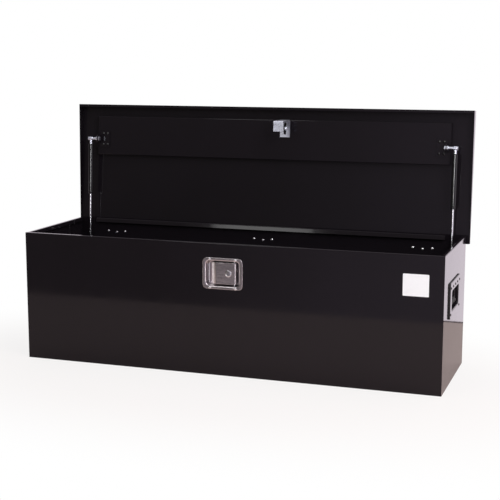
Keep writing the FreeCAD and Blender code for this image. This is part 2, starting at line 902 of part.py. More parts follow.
def bolt_housing():
    gap = bolt_slide_gap
    back = bolt_front + bolt_width
    high = bolt_low + bolt_height
    margin = gap + housing_wall
    case = block(housing_left, housing_right, dish_back, back + margin, bolt_low - margin, high + margin)
    room = block(housing_left + housing_wall, housing_right + overrun, bolt_front - gap, back + gap,
                 bolt_low - gap, high + gap)
    case = case.cut(room)
    return case.cut(tail_window(dish_back - overrun, bolt_front))


def bolt_spring():
    length = housing_spring_room - 2 * (spring_seat_gap + spring_wire)
    pitch = length / spring_turns
    path = Part.Wire(Part.makeHelix(pitch, length, spring_radius))
    ring = Part.Wire(Part.makeCircle(spring_wire, point(spring_radius, 0, 0), along_y))
    coil = path.makePipeShell([ring], True, True)
    coil.rotate(point(0, 0, 0), along_y, 90)
    start = housing_left + housing_wall + spring_seat_gap + spring_wire
    coil.translate(point(start, bolt_mid_y, bolt_mid_z))
    return coil


# Recessed handle on the right end
def handle_axis(y):
    face = half_length + handle_proud
    return point(face - handle_axis_depth, y, handle_top - pan_drop - handle_axis_drop)


def pan_sides():
    half = pan_width / 2
    return (handle_y - half, handle_y + half)


def handle_pan(margin, x0, x1):
    """The handle's recess, grown all round by margin, from x0 to x1."""
    front, rear = pan_sides()
    high = handle_top - pan_drop
    low = high - pan_height
    y0, y1 = front - margin, rear + margin
    z0, z1 = low - margin, high + margin
    corners = [point(x0, y, z) for y in (y0, y1) for z in (z0, z1)]
    return rounded(block(x0, x1, y0, y1, z0, z1), pan_corner + margin, along_x, corners)


def handle_plate():
    """A pressed plate that stands proud of the end wall, with a deep pan for the bail."""
    half = handle_plate_width / 2
    front, rear = handle_y - half, handle_y + half
    low = handle_top - handle_plate_height
    wall = half_length
    face = wall + handle_proud
    t = handle_sheet
    corners = [point(wall, y, z) for y in (front, rear) for z in (low, handle_top)]
    tray = rounded(block(wall, face, front, rear, low, handle_top), handle_corner, along_x, corners)
    tray = tray.cut(block(wall - overrun, face - t, front + t, rear - t, low + t, handle_top - t))
    floor = face - pan_depth
    plate = joined(tray, handle_pan(t, floor - t, face))
    plate = plate.cut(handle_pan(0, floor, face + overrun))
    front, rear = pan_sides()
    reach = t + overrun
    bore = bar(handle_axis(front - reach), handle_axis(rear + reach), handle_pin_radius + hole_gap)
    plate = plate.cut(bore)
    for foot in handle_rivet_feet():
        plate = plate.cut(hole(foot, along_x, rivet_shank + hole_gap, t))
    return plate


def bail_arm_y():
    """Where the bail's two arms stand, inside the pan."""
    front, rear = pan_sides()
    inset = bail_eye_gap + bail_eye_width / 2
    return (front + inset, rear - inset)


def bail():
    front, rear = bail_arm_y()
    axis = handle_axis(0)
    foot = axis.z - bail_drop
    diagonal = 1 - math.sqrt(0.5)

    def at(y, z):
        return point(axis.x, y, z)

    path = [
        Part.LineSegment(at(front, axis.z), at(front, foot + bail_bend)),
        Part.Arc(at(front, foot + bail_bend), at(front + bail_bend * diagonal, foot + bail_bend * diagonal),
                 at(front + bail_bend, foot)),
        Part.LineSegment(at(front + bail_bend, foot), at(rear - bail_bend, foot)),
        Part.Arc(at(rear - bail_bend, foot), at(rear - bail_bend * diagonal, foot + bail_bend * diagonal),
                 at(rear, foot + bail_bend)),
        Part.LineSegment(at(rear, foot + bail_bend), at(rear, axis.z)),
    ]
    wire = Part.Wire([curve.toShape() for curve in path])
    ring = Part.Wire(Part.makeCircle(bail_radius, at(front, axis.z), along_z))
    rod = wire.makePipeShell([ring], True, False)
    half = bail_eye_width / 2
    eyes = [bar(at(y - half, axis.z), at(y + half, axis.z), bail_eye_radius) for y in (front, rear)]
    whole = joined(rod, *eyes)
    outer_front, outer_rear = pan_sides()
    return whole.cut(bar(at(outer_front, axis.z), at(outer_rear, axis.z), handle_pin_radius + running_gap))


def grip():
    axis = handle_axis(handle_y)
    centre = axis - along_z * bail_drop
    half = along_y * (grip_length / 2)
    tube = bar(centre - half, centre + half, grip_radius)
    tube = tube.makeFillet(grip_round, [edge for edge in tube.Edges if isinstance(edge.Curve, Part.Circle)])
    return tube.cut(bar(centre - half * 2, centre + half * 2, bail_radius + running_gap))


def handle_pins():
    front, rear = pan_sides()
    reach = handle_sheet + bail_eye_gap + bail_eye_width
    pins = []
    for y, inward in ((front - handle_sheet, along_y), (rear + handle_sheet, along_y * -1)):
        foot = handle_axis(y)
        shank = Part.makeCylinder(handle_pin_radius, reach, foot, inward)
        pins.append(joined(shank, dome(foot, inward * -1, handle_pin_head, handle_pin_head_height)))
    return pins


def rivets(feet, out, grip_thickness):
    return [rivet(foot, out, grip_thickness) for foot in feet]


os.makedirs("parts", exist_ok=True)

save("front_panel", front_panel())
save("rear_panel", rear_panel())
save("floor_panel", floor_panel())
save("right_end_panel", right_end_panel())
save("left_end_panel", other_side(right_end_panel()))
save("blank_label", label())

save("lid_pan", open_lid(lid_pan()))
save("lid_stiffener", open_lid(stiffener()))
save("striker", open_lid(striker()))
save("striker_fasteners", *[open_lid(piece) for piece in striker_fasteners()])

body_rivets = []
lid_rivets = []
for side, x in hinge_places().items():
    save(side + "_hinge_body_leaf", hinge_body_leaf(x))
    save(side + "_hinge_lid_leaf", open_lid(hinge_lid_leaf(x)))
    save(side + "_hinge_pin", hinge_pin(x))
    body_rivets += rivets(hinge_body_rivet_feet(x), along_y, hinge_leaf + body_sheet)
    lid_rivets += rivets(hinge_lid_rivet_feet(x), along_y, lid_sheet + hinge_leaf)
save("hinge_body_rivets", *body_rivets)
save("hinge_lid_rivets", *[open_lid(piece) for piece in lid_rivets])

right_hand = {
    "strut_barrel": strut_barrel(),
    "strut_rod": strut_rod(),
    "strut_lid_bracket": open_lid(lid_bracket()),
    "strut_lid_stud": open_lid(lid_stud()),
    "strut_anchor": strut_anchor(),
    "handle_plate": handle_plate(),
    "handle_bail": bail(),
    "handle_grip": grip(),
}
for name, shape in right_hand.items():
    save("right_" + name, shape)
    save("left_" + name, other_side(shape))
save("strut_bracket_screws", *[open_lid(piece) for piece in bracket_screws()])

handle_groups = {
    "handle_pins": handle_pins(),
    "handle_rivets": rivets(handle_rivet_feet(), along_x, handle_proud + body_sheet),
}
for name, group in handle_groups.items():
    save("right_" + name, *group)
    save("left_" + name, *[other_side(piece) for piece in group])

save("latch_pan", latch_pan())
save("latch_rivets", *rivets(latch_rivet_feet(), along_y * -1, latch_sheet + body_sheet))
save("paddle", paddle())
save("paddle_pin", paddle_pin())
save("lock_sleeve", lock_sleeve())
save("lock_plug", lock_plug())
save("latch_bolt", bolt())
save("bolt_housing", bolt_housing())
save("bolt_spring", bolt_spring())
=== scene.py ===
"""Looks of the jobsite storage box: finer pieces, finishes, a pale studio floor, light and camera."""
import json
import math

import bmesh
import bpy
from mathutils import Matrix, Vector

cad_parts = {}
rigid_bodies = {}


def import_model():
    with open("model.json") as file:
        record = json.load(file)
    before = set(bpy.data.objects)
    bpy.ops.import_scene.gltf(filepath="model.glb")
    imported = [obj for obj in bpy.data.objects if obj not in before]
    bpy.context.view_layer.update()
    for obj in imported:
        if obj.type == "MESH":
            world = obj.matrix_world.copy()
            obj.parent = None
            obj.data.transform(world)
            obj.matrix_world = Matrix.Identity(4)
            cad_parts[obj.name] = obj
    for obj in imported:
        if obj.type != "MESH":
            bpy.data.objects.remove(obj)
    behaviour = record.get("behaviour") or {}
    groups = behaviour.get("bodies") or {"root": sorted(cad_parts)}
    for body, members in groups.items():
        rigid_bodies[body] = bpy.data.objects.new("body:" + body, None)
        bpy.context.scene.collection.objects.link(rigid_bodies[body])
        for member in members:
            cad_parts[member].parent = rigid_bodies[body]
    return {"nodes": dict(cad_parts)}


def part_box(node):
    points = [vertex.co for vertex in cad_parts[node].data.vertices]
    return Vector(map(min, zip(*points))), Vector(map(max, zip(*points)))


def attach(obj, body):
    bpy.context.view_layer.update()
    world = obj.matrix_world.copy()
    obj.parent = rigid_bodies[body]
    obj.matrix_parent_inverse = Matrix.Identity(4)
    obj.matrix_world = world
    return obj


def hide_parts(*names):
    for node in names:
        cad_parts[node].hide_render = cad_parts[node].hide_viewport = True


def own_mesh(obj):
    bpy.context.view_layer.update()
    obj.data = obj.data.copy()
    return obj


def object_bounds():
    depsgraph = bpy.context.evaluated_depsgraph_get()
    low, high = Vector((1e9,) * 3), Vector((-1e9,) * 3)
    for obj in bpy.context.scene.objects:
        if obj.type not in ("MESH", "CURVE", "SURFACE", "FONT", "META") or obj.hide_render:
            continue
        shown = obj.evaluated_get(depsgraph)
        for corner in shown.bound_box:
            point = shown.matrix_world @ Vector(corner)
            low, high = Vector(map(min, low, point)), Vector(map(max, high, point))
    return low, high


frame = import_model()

cad_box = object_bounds()

# Camera, found from the picture's perspective: metres and radians, on a 36 mm wide frame of 500 pixels
CAMERA_PLACE = (1.0734, -3.0779, 0.8818)
CAMERA_YAW = 0.3300
CAMERA_PITCH = 0.1686
CAMERA_ROLL = 0.0013
SENSOR_MM = 36.0
LENS_MM = 82.48

# Floor, in metres: it ends in front of the box and behind it, and turns white beyond the box's shadow
FLOOR_FRONT_Y = -1.0
FLOOR_REAR_Y = 0.70
FLOOR_MIDDLE_Y = (FLOOR_REAR_Y + FLOOR_FRONT_Y) / 2
FLOOR_HALF_DEPTH = (FLOOR_REAR_Y - FLOOR_FRONT_Y) / 2
FLOOR_HALF_WIDTH = 4.0
FLOOR_DROP = 0.0004
FLOOR_COLOUR = "#e2cec9"
FLOOR_ROUGHNESS = 0.9
JOINT_COLOUR = "#5a4c4a"
JOINT_WIDTH = 0.022
JOINT_BLUR = 0.0044
SHADOW_REACH = 1.6
SHADOW_FADE = (0.35, 0.95)
SHADOW_WHITE = 0.82

# Room that glossy surfaces mirror: linear brightness, and where along a direction each part begins and ends
ROOM_LEFT = (0.12, 0.11, 0.10)
ROOM_RIGHT = (0.45, 0.40, 0.48)
ROOM_SLANT = (1.0, 0.0, -0.3)
ROOM_FADE = (-0.36, -0.08)
BACKDROP = (1.35, 1.22, 1.33)
BACKDROP_SLANT = (0.3, 1.0, 0.0)
BACKDROP_FADE = (-0.1, 0.3)
CEILING = (0.60, 0.57, 0.59)
CEILING_FADE = (0.5, 0.85)
AMBIENT = 0.52

# Lamps, in metres. The two cards stand low in front of the box and draw the latch's edges
CARD_TARGET = (0.03, -0.17, 0.28)
CARD_SIZE = (0.3, 0.12)
SOFTBOXES = {
    "key_softbox": dict(place=(-0.93, -2.37, 1.70), target=(0.0, 0.16, 0.36), size=(0.55, 0.90),
                        radiance=4.3),
    "side_softbox": dict(place=(2.1, -1.9, 1.9), target=(0.0, 0.0, 0.3), size=(1.4, 1.6), radiance=5.5),
    "strut_strip": dict(place=(0.66, -3.0, 0.64), target=(0.3, 0.0, 0.55), size=(0.3, 0.38), radiance=50.0),
    "left_card": dict(place=(-1.20, -0.62, 0.06), target=CARD_TARGET, size=CARD_SIZE, radiance=2.2),
    "right_card": dict(place=(0.9, -1.1, 0.07), target=CARD_TARGET, size=CARD_SIZE, radiance=7.0),
    "top_softbox": dict(place=(1.3, -0.1, 2.5), target=(0.8, 0.0, 0.0), size=(2.0, 1.6), radiance=2.0),
}
STRUT_PIECES = ("strut_tube", "strut_rod", "strut_end_fitting", "strut_lid_stud")

# Finishes: how finely their patterns break up, the part of the wear that shows, and the panels' waviness
CLOUD_DETAIL = 4.0
WEAR_DETAIL = 6.0
WEAR_SPAN = (0.3, 0.7)
GRAIN_DETAIL = 2.0
SHEET_WAVE_MM = 130.0
SHEET_WAVE_DEPTH_MM = 0.08
SHEET_WAVE_DETAIL = 1.0

# How finely shapes are cut, in steps. Edges are shaded smooth up to the smooth angle, and are a sheet's rim
# past the rim angle. Points that lie closer than SAME_PLACE, in metres, are merged
CORNER_STEPS = 6
ROUND_STEPS = 4
EDGE_STEPS = 2
RIM_STEPS = 3
BEND_STEPS = 10
TURN_STEPS = 32
RIVET_STEPS = 16
SMOOTH_ANGLE = math.radians(32)
RIM_ANGLE = math.radians(57)
SAME_PLACE = 0.00001

# Ways that a shape's across, up and out can point in the frame, and the middle of its sheet
FACING_FRONT = ((1, 0, 0), (0, 0, 1), (0, -1, 0))
FACING_BACK = ((1, 0, 0), (0, 0, -1), (0, 1, 0))
FACING_RIGHT = ((0, 1, 0), (0, 0, 1), (1, 0, 0))
CENTRE = (0.0, 0.0)

# Pieces are sized in millimetres. Pressings have this share of their packed sheet's thickness
MM = 0.001
PRESSED_SHARE = 0.6

# Latch plate
LATCH_SHEET = 1.5
BEZEL_CORNER = 13.0
BEZEL_ROUND = 1.0
DISH_SIZE = (97.0, 70.0)
DISH_CORNER = 11.0
DISH_SHOULDER = 3.2
DISH_DRAFT = 1.5

# Paddle
PADDLE_SHEET = 2.0
PADDLE_INSET = 1.0
PADDLE_KNEE = 8.0
PADDLE_KNEE_TURN = math.radians(17)
PADDLE_CURVE = 110.0
PADDLE_CURVE_TURN = math.radians(8)
PADDLE_BEND = 3.5
PADDLE_EDGE = 0.7
CHEEK_SIZE = (13.0, 10.0)
LEVER_SIZE = (4.0, 6.0)
LEVER_HUB = 4.5
LEVER_HUB_ROUND = 2.7

# Lock. Each point of the flange's dome is so far in from its rim and so far down from its face
LOCK_BORE = 6.05
LOCK_SLEEVE = 8.0
LOCK_LIP = 0.5
LOCK_FLANGE = 1.4
LOCK_DOME = ((1.5, 0.1), (0.7, 0.35), (0.2, 0.75), (0.0, 1.26))
PLUG_GAP = 0.05
PLUG_SUNK = 1.1
KEYWAY_SIZE = (1.4, 7.5)
KEYWAY_DEPTH = 5.0
KEYWAY_END_CUTS = 4
KEYWAY_SIDE_CUTS = 10

# Blind rivets
RIVET_HEAD = 3.8
RIVET_HEAD_HEIGHT = 1.6
RIVET_LIP = 0.35
RIVET_SHANK = 2.0
RIVET_TAIL = 3.2
RIVET_TAIL_HEIGHT = 1.4
MANDREL = 1.15
MANDREL_END = 0.92
MANDREL_SUNK = 0.6

# Handles. Each point of a grip's rib is a share of the ribs' spacing along it, and of their depth down
HANDLE_SHEET = 2.0
HANDLE_CORNER = 6.0
HANDLE_SLOPE = 0.7
HANDLE_ROUND = 0.6
HANDLE_FLANGE = 1.4
# Width of the thin matt black ring that draws the dark line round a handle plate
DARK_RING_WIDTH = 9.0
PAN_SIZE = (111.0, 55.0)
PAN_DROP = 25.0
PAN_CORNER = 7.0
PAN_DRAFT = 2.0
PAN_ROUND = 3.0
GRIP_BORE = 3.55
GRIP_RIBS = 15
GRIP_RIB_DEPTH = 0.9
GRIP_RIB_SHARES = ((0.0, 1.0), (0.18, 0.25), (0.32, 0.0), (0.68, 0.0), (0.82, 0.25), (1.0, 1.0))

# Gas struts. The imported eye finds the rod's foot, and the rim is what shows
STRUT_PACKED_EYE = 7.0
STRUT_EYE_RIM = 6.0
STRUT_EYE_EDGE = 1.0
STRUT_EYE_WIDTH = 12.0
STRUT_EYE_BORE = 4.05
STRUT_ROOT = STRUT_EYE_BORE + 1.0
STRUT_NECK = 4.5
STRUT_NECK_LENGTH = 16.0
STRUT_TUBE = 7.5
STRUT_TUBE_LENGTH = 158.0
STRUT_END_ROUND = 2.5
STRUT_GROOVE_FROM_END = 9.0
STRUT_GROOVE_WIDTH = 3.6
STRUT_GROOVE_DEPTH = 0.9
STRUT_ROD = 3.0
STRUT_ROD_EDGE = 0.5
STRUT_BORE = 3.05
GLAND_MOUTH = STRUT_BORE + 1.0
GLAND_SEAT = STRUT_BORE + 0.6
GLAND_DEPTH = 1.0


def linear(hex_colour):
    """An sRGB hex colour as linear RGBA."""
    channels = [int(hex_colour[i:i + 2], 16) / 255 for i in (1, 3, 5)]
    return tuple(c / 12.92 if c <= 0.04045 else ((c + 0.055) / 1.055) ** 2.4 for c in channels) + (1.0,)


def per_metre(size_mm):
    """The texture scale whose features are about size_mm wide."""
    return 1.0 / (size_mm * MM)


def add(tree, kind, settings=(), inputs=()):
    """Adds a shader node with its settings, and its inputs as values or as links."""
    node = tree.nodes.new(kind)
    for name, value in dict(settings).items():
        setattr(node, name, value)
    for name, value in dict(inputs).items():
        if isinstance(value, bpy.types.NodeSocket):
            tree.links.new(value, node.inputs[name])
        else:
            node.inputs[name].default_value = value
    return node


def new_material(name):
    """A material with nothing but its shader and output; returns it, its tree and its shader."""
    material = bpy.data.materials.new(name)
    material.use_nodes = True
    tree = material.node_tree
    return material, tree, tree.nodes["Principled BSDF"]


def new_metal(name):
    """The same for a bare metal."""
    material, tree, shader = new_material(name)
    shader.inputs["Metallic"].default_value = 1.0
    return material, tree, shader


def object_place(tree, stretch=(1.0, 1.0, 1.0)):
    """Object coordinates, with a pattern drawn out along the axes whose stretch is below 1."""
    place = add(tree, "ShaderNodeTexCoord").outputs["Object"]
    return add(tree, "ShaderNodeMapping", inputs={"Vector": place, "Scale": stretch}).outputs["Vector"]


def finish(tree, shader, place, colours, cloud_mm, rough, rough_mm, relief_mm, depth_mm):
    """What every finish here has: a clouded colour, a roughness that varies, and a fine relief.

    The relief's bump is returned, so that a coarser one can go under it.
    """
    cloud = add(tree, "ShaderNodeTexNoise",
                inputs={"Vector": place, "Scale": per_metre(cloud_mm), "Detail": CLOUD_DETAIL})
    colour = add(tree, "ShaderNodeMix", {"data_type": "RGBA"},
                 {0: cloud.outputs[0], 6: linear(colours[0]), 7: linear(colours[1])})
    tree.links.new(colour.outputs[2], shader.inputs["Base Color"])
    wear = add(tree, "ShaderNodeTexNoise",
               inputs={"Vector": place, "Scale": per_metre(rough_mm), "Detail": WEAR_DETAIL})
    span = add(tree, "ShaderNodeMapRange",
               inputs={"Value": wear.outputs[0], "From Min": WEAR_SPAN[0], "From Max": WEAR_SPAN[1],
                       "To Min": rough[0], "To Max": rough[1]})
    tree.links.new(span.outputs[0], shader.inputs["Roughness"])
    grain = add(tree, "ShaderNodeTexNoise",
                inputs={"Vector": place, "Scale": per_metre(relief_mm), "Detail": GRAIN_DETAIL})
    bump = add(tree, "ShaderNodeBump",
               inputs={"Strength": 1.0, "Distance": depth_mm * MM, "Height": grain.outputs[0]})
    tree.links.new(bump.outputs[0], shader.inputs["Normal"])
    return bump


def gloss_enamel():
    """Black powder coat, baked to a gloss: near mirror-like, with the faint orange peel of flowed powder.

    The thin sheet under it is never quite flat, so straight lines waver a little where it mirrors them.
    """
    material, tree, shader = new_material("gloss_black_powder_coat")
    shader.inputs["Specular IOR Level"].default_value = 0.26
    place = object_place(tree)
    peel = finish(tree, shader, place, ("#161316", "#1a161b"), cloud_mm=180.0, rough=(0.05, 0.11),
                  rough_mm=40.0, relief_mm=5.0, depth_mm=0.006)
    wave = add(tree, "ShaderNodeTexNoise",
               inputs={"Vector": place, "Scale": per_metre(SHEET_WAVE_MM), "Detail": SHEET_WAVE_DETAIL})
    sheet = add(tree, "ShaderNodeBump",
                inputs={"Strength": 1.0, "Distance": SHEET_WAVE_DEPTH_MM * MM, "Height": wave.outputs[0]})
    tree.links.new(sheet.outputs[0], peel.inputs["Normal"])
    return material


def painted_rivet():
    """Rivets coated with the box: the same black, a little duller where the powder thins on the dome."""
    material, tree, shader = new_material("coated_rivet_black")
    finish(tree, shader, object_place(tree), ("#0c0b0c", "#161516"), cloud_mm=6.0, rough=(0.14, 0.28),
           rough_mm=3.0, relief_mm=1.2, depth_mm=0.01)
    return material


def bright_rivet():
    """Bright zinc-plated rivets: white metal with small dull patches."""
    material, tree, shader = new_metal("bright_zinc_rivet")
    finish(tree, shader, object_place(tree), ("#e8e8ea", "#f8f8f9"), cloud_mm=3.0, rough=(0.18, 0.28),
           rough_mm=2.0, relief_mm=0.8, depth_mm=0.004)
    return material


def plated_steel():
    """Pressed steel with bright zinc plate: bluish white, softly clouded.

    Its fine rolling marks are drawn coarser than real ones.
    """
    material, tree, shader = new_metal("zinc_plated_steel")
    place = object_place(tree, (0.25, 1.0, 1.0))
    finish(tree, shader, place, ("#d8dcea", "#f2f7ff"), cloud_mm=12.0, rough=(0.24, 0.40),
           rough_mm=5.0, relief_mm=0.9, depth_mm=0.006)
    return material


def die_casting():
    """Zinc die casting, left as it came from the die: grey, dull, a little pitted."""
    material, tree, shader = new_metal("zinc_die_casting")
    finish(tree, shader, object_place(tree), ("#8c8c90", "#b0b0b4"), cloud_mm=9.0, rough=(0.38, 0.58),
           rough_mm=4.0, relief_mm=1.1, depth_mm=0.03)
    return material


def stainless_sheet():
    """Polished stainless sheet: pale grey, with faint polishing lines along it, coarser than real ones."""
    material, tree, shader = new_metal("polished_stainless_sheet")
    place = object_place(tree, (0.06, 1.0, 1.0))
    finish(tree, shader, place, ("#b4aeb0", "#d4ced0"), cloud_mm=14.0, rough=(0.14, 0.26),
           rough_mm=3.0, relief_mm=0.7, depth_mm=0.004)
    return material


def chrome_lock():
    """Chromed die casting of the lock: bright, with a soft bloom where keys have touched it."""
    material, tree, shader = new_metal("chromed_lock_barrel")
    finish(tree, shader, object_place(tree), ("#c4c4c6", "#e2e2e4"), cloud_mm=6.0, rough=(0.07, 0.22),
           rough_mm=3.0, relief_mm=0.6, depth_mm=0.003)
    return material


def chrome_rod():
    """Ground and hard-chromed strut rod: bright, with grinding lines round it, coarser than real ones."""
    material, tree, shader = new_metal("ground_chromed_rod")
    place = object_place(tree, (0.15, 0.15, 1.0))
    finish(tree, shader, place, ("#d4d4d8", "#eaeaee"), cloud_mm=20.0, rough=(0.18, 0.26),
           rough_mm=12.0, relief_mm=0.5, depth_mm=0.0004)
    return material


def strut_paint():
    """Black stoved paint on the drawn strut tube: high gloss, with draw lines along it."""
    material, tree, shader = new_material("stoved_black_tube_paint")
    place = object_place(tree, (1.0, 1.0, 0.05))
    finish(tree, shader, place, ("#0c0c0d", "#151517"), cloud_mm=30.0, rough=(0.08, 0.14),
           rough_mm=6.0, relief_mm=1.2, depth_mm=0.001)
    return material


def spring_wire():
    """Drawn spring steel: grey, lightly oiled."""
    material, tree, shader = new_metal("drawn_spring_wire")
    finish(tree, shader, object_place(tree), ("#77777a", "#9a9a9d"), cloud_mm=3.0, rough=(0.22, 0.38),
           rough_mm=1.5, relief_mm=0.4, depth_mm=0.004)
    return material


def moulded_rubber():
    """Moulded black rubber: matt, finely grained, greyer where hands polish it."""
    material, tree, shader = new_material("moulded_black_rubber")
    finish(tree, shader, object_place(tree), ("#161616", "#242424"), cloud_mm=20.0, rough=(0.55, 0.78),
           rough_mm=8.0, relief_mm=0.6, depth_mm=0.03)
    return material


def label_paper():
    """Coated label paper: a bluish white, with a trace of fibre."""
    material, tree, shader = new_material("coated_label_paper")
    finish(tree, shader, object_place(tree), ("#f2f3f7", "#f9fafd"), cloud_mm=9.0, rough=(0.42, 0.58),
           rough_mm=5.0, relief_mm=0.5, depth_mm=0.004)
    return material


FINISHES = {
    "black_gloss_paint": gloss_enamel,
    "black_rivet": painted_rivet,
    "bright_rivet": bright_rivet,
    "zinc_steel": plated_steel,
    "zinc_casting": die_casting,
    "stainless_steel": stainless_sheet,
    "chromed_lock": chrome_lock,
    "chromed_rod": chrome_rod,
    "strut_paint": strut_paint,
    "spring_wire": spring_wire,
    "black_rubber": moulded_rubber,
    "white_label": label_paper,
}


def dress_nodes():
    """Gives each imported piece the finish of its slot."""
    for piece in frame["nodes"].values():
        for slot in piece.material_slots:
            slot.material = finishes[slot.material.name.split(".")[0]]


def new_object(name, data):
    """An object in the scene, at the origin."""
    made = bpy.data.objects.new(name, data)
    bpy.context.scene.collection.objects.link(made)
    return made


def axes(origin, across, up, out):
    """Turns a shape's own millimetres, across, up and out of its sheet, into the frame's metres."""
    turn = Matrix((across, up, out)).transposed().to_4x4()
    return Matrix.Translation(origin) @ turn @ Matrix.Scale(MM, 4)


def middle(node):
    """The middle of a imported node."""
    low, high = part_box(node)
    return (low + high) / 2


def front(node):
    """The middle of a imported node's front face."""
    low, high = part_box(node)
    return Vector(((low.x + high.x) / 2, low.y, (low.z + high.z) / 2))


def put(name, shape, place, body, slot, *nodes):
    """Places a shape on its body, smooth but for its creases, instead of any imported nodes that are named."""
    bmesh.ops.transform(shape, matrix=place, verts=shape.verts)
    mesh = bpy.data.meshes.new(name)
    shape.to_mesh(mesh)
    shape.free()
    mesh.shade_smooth()
    mesh.set_sharp_from_angle(angle=SMOOTH_ANGLE)
    mesh.materials.append(finishes[slot])
    piece = new_object(name, mesh)
    flats = piece.modifiers.new("flat faces stay flat", "WEIGHTED_NORMAL")
    flats.keep_sharp = True
    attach(piece, body)
    if nodes:
        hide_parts(*nodes)
    return piece


def add_to(shape, part, place):
    """Adds a part, placed, to a shape."""
    bmesh.ops.transform(part, matrix=place, verts=part.verts)
    mesh = bpy.data.meshes.new("part")
    part.to_mesh(mesh)
    part.free()
    shape.from_mesh(mesh)
    bpy.data.meshes.remove(mesh)


def soften(shape, edges, radius, steps):
    """Rounds edges of a shape."""
    bmesh.ops.bevel(shape, geom=edges, offset=radius, segments=steps, profile=0.5, affect="EDGES",
                    material=-1)


def drawn_on(shape, edges, way):
    """Extrudes a line of edges by a vector; returns the edges of its new end."""
    made = bmesh.ops.extrude_edge_only(shape, edges=edges)["geom"]
    points = [item for item in made if isinstance(item, bmesh.types.BMVert)]
    bmesh.ops.translate(shape, vec=way, verts=points)
    return [item for item in made if isinstance(item, bmesh.types.BMEdge)
            and all(point in points for point in item.verts)]


def narrowed(size, by):
    """A width and height, less the same on every side."""
    return tuple(length - 2 * by for length in size)


def rounded_face(shape, size, corner, centre, height):
    """A face with the outline of a rounded rectangle, lying at a height above the sheet."""
    corners = bmesh.ops.create_grid(shape, x_segments=1, y_segments=1, size=0.5)["verts"]
    bmesh.ops.scale(shape, vec=(size[0], size[1], 1.0), verts=corners)
    bmesh.ops.translate(shape, vec=(centre[0], centre[1], height), verts=corners)
    made = bmesh.ops.bevel(shape, geom=corners, offset=corner, segments=CORNER_STEPS, profile=0.5,
                           affect="VERTICES", material=-1)
    return made["verts"][0].link_faces[0]


def facing_out(shape, face):
    """Makes all faces of a shape agree, with one of them facing out of the sheet."""
    bmesh.ops.recalc_face_normals(shape, faces=shape.faces)
    if face.normal.z < 0:
        bmesh.ops.reverse_faces(shape, faces=shape.faces)


def pressing(outlines, rounds, sheet):
    """A sheet drawn through outlines, each (size, corner, centre, height), from its rim to its floor.

    Each of the rounds softens the sheet where it turns at the outline of the same place in the list.
    """
    shape = bmesh.new()
    faces = [rounded_face(shape, *outline) for outline in outlines]
    loops = [list(face.edges) for face in faces]
    bmesh.ops.delete(shape, geom=faces[:-1], context="FACES_ONLY")
    for loop, following in zip(loops, loops[1:]):
        bmesh.ops.bridge_loops(shape, edges=loop + following)
    facing_out(shape, faces[-1])
    for loop, radius in zip(loops, rounds):
        if radius:
            soften(shape, loop, radius, ROUND_STEPS)
    bmesh.ops.solidify(shape, geom=shape.faces[:], thickness=sheet)
    return shape


def turned(profile, steps=TURN_STEPS):
    """A shape turned about its out axis from a profile of (radius, height) points."""
    shape = bmesh.new()
    points = [shape.verts.new((radius, 0.0, height)) for radius, height in profile]
    edges = [shape.edges.new(pair) for pair in zip(points, points[1:])]
    bmesh.ops.spin(shape, geom=points + edges, cent=(0, 0, 0), axis=(0, 0, 1), angle=2 * math.pi,
                   steps=steps, use_merge=True)
    bmesh.ops.remove_doubles(shape, verts=shape.verts, dist=SAME_PLACE / MM)
    bmesh.ops.recalc_face_normals(shape, faces=shape.faces)
    return shape


def block(shape, low, high, edge):
    """Adds a block with softened edges, between two corners, to a shape."""
    corners = bmesh.ops.create_cube(shape, size=1.0)["verts"]
    bmesh.ops.scale(shape, vec=high - low, verts=corners)
    bmesh.ops.translate(shape, vec=(low + high) / 2, verts=corners)
    sides = dict.fromkeys(side for corner in corners for side in corner.link_edges)
    soften(shape, list(sides), edge, EDGE_STEPS)


def dome(radius, height, inner):
    """Profile points of a low dome, from inner radius to its edge."""
    ball = (radius * radius + height * height) / (2 * height)
    for step in range(ROUND_STEPS + 1):
        at = inner + (radius - inner) * step / ROUND_STEPS
        yield (at, math.sqrt(ball * ball - at * at) - ball + height)


def blind_rivet(grip):
    """A blind rivet: a domed head with the broken mandrel sunk in it, a shank, and a bulb at its tail."""
    mandrel = RIVET_HEAD_HEIGHT - MANDREL_SUNK
    profile = [(0.0, mandrel), (MANDREL_END, mandrel)]
    profile += [(at, RIVET_LIP + height)
                for at, height in dome(RIVET_HEAD, RIVET_HEAD_HEIGHT - RIVET_LIP, MANDREL)]
    profile += [(RIVET_HEAD, 0.0), (RIVET_SHANK, 0.0), (RIVET_SHANK, -grip)]
    bulb = [(at, -grip - height) for at, height in dome(RIVET_TAIL, RIVET_TAIL_HEIGHT, 0.0)]
    return turned(profile + bulb[::-1], RIVET_STEPS)


def solids(node):
    """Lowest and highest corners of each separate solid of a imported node."""
    shape = bmesh.new()
    shape.from_mesh(frame["nodes"][node].data)
    bmesh.ops.remove_doubles(shape, verts=shape.verts, dist=SAME_PLACE)
    waiting = set(shape.verts)
    boxes = []
    for start in shape.verts:
        if start in waiting:
            waiting.remove(start)
            reached = [start]
            for vertex in reached:
                near = {side.other_vert(vertex) for side in vertex.link_edges} & waiting
                waiting -= near
                reached.extend(near)
            places = [vertex.co for vertex in reached]
            boxes.append((Vector(map(min, zip(*places))), Vector(map(max, zip(*places)))))
    shape.free()
    return boxes


